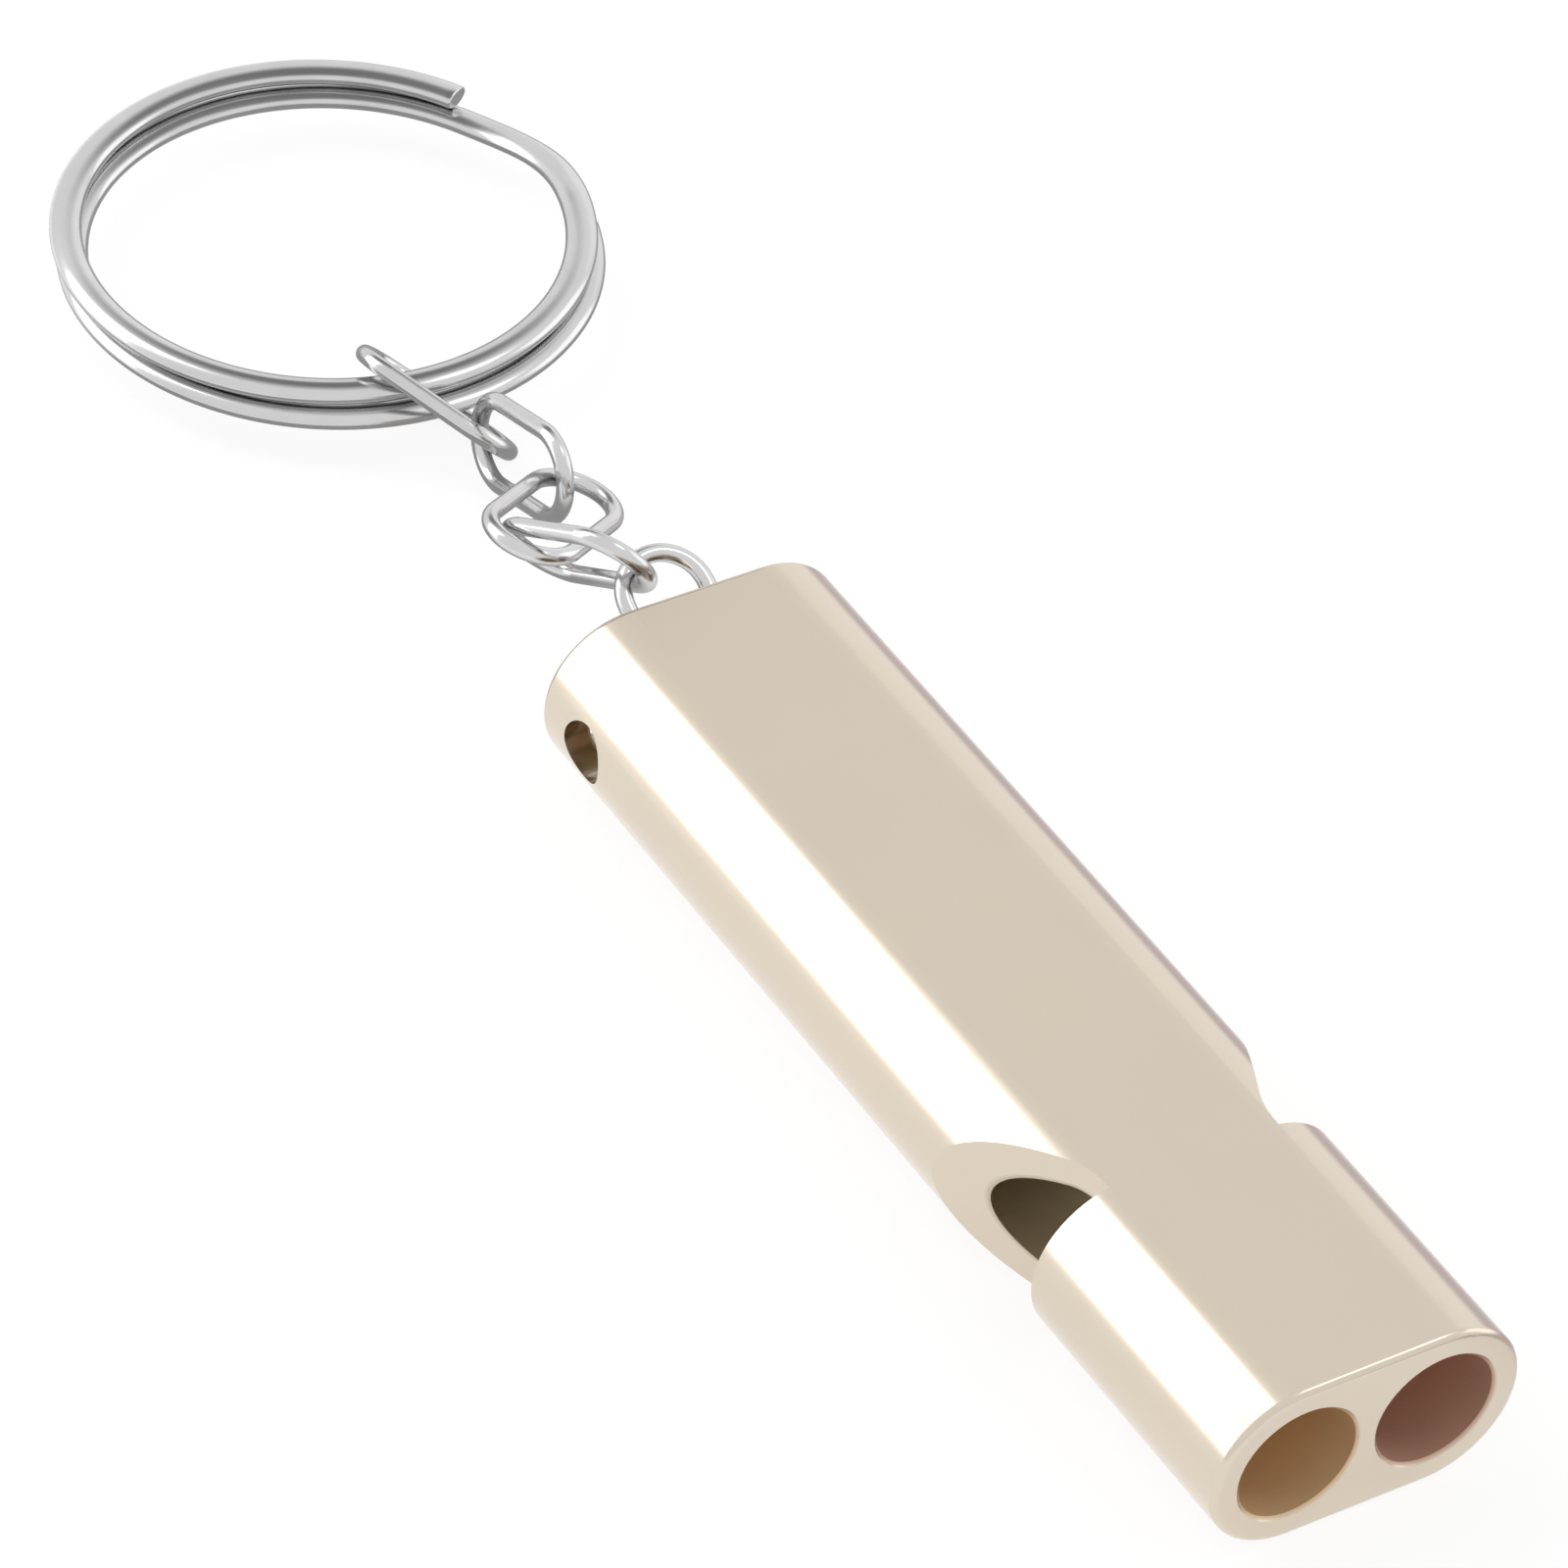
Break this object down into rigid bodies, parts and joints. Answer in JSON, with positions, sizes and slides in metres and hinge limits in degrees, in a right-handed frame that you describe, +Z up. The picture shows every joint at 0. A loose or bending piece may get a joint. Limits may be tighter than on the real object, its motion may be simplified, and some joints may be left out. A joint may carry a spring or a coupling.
{
  "type": "survival whistle",
  "caption": "Flat double-tube metal whistle with side voicing notches, plugged air columns and a cross hole that carries a short oval-link chain with a split key ring",
  "frame": {"origin": "middle of the whistle body's flat underside", "axes": "+Y runs along the tubes from the mouth face to the chain and ring, +X runs across both tubes, +Z is up"},
  "size_m": [0.0248, 0.0984, 0.0089],
  "materials": {
    "body_aluminium": "satin champagne anodised",
    "plug_aluminium": "turned, slightly dull",
    "nickel_wire": "bright nickel plate"
  },
  "bodies": {
    "whistle": {"whistle_body": "body_aluminium", "left_fipple": "plug_aluminium", "right_fipple": "plug_aluminium", "left_stopper": "plug_aluminium", "right_stopper": "plug_aluminium"},
    "link_1": {"link_1": "nickel_wire"},
    "link_2": {"link_2": "nickel_wire"},
    "link_3": {"link_3": "nickel_wire"},
    "link_4": {"link_4": "nickel_wire"},
    "link_5": {"link_5": "nickel_wire"},
    "ring": {"split_ring": "nickel_wire"}
  },
  "joints": [
    {"name": "link_1_swing", "type": "hinge", "parent": "whistle", "child": "link_1", "pos_m": [0, 0.02289, 0.00315], "axis": [1, 0, 0], "range_deg": [-15, 5]},
    {"name": "link_2_swing", "type": "hinge", "parent": "link_1", "child": "link_2", "pos_m": [-0.00113, 0.02947, 0.00672], "axis": [0.8141, 0.5103, 0.2771], "range_deg": [-60, 60]},
    {"name": "link_3_swing", "type": "hinge", "parent": "link_2", "child": "link_3", "pos_m": [-0.00373, 0.03487, 0.00599], "axis": [0.0899, 0.6832, -0.7247], "range_deg": [-15, 6]},
    {"name": "link_4_swing", "type": "hinge", "parent": "link_3", "child": "link_4", "pos_m": [0.00058, 0.03845, 0.00452], "axis": [-0.9423, 0.1399, 0.3042], "range_deg": [-60, 60]},
    {"name": "link_5_swing", "type": "hinge", "parent": "link_4", "child": "link_5", "pos_m": [0.00066, 0.04494, 0.00219], "axis": [0.114, 0.3601, 0.9259], "range_deg": [-25, 40]},
    {"name": "ring_turn", "type": "hinge", "parent": "link_5", "child": "ring", "pos_m": [0.00115, 0.06, 0.00243], "axis": [-0.0173, 0.0059, 0.9998], "continuous": true}
  ]
}
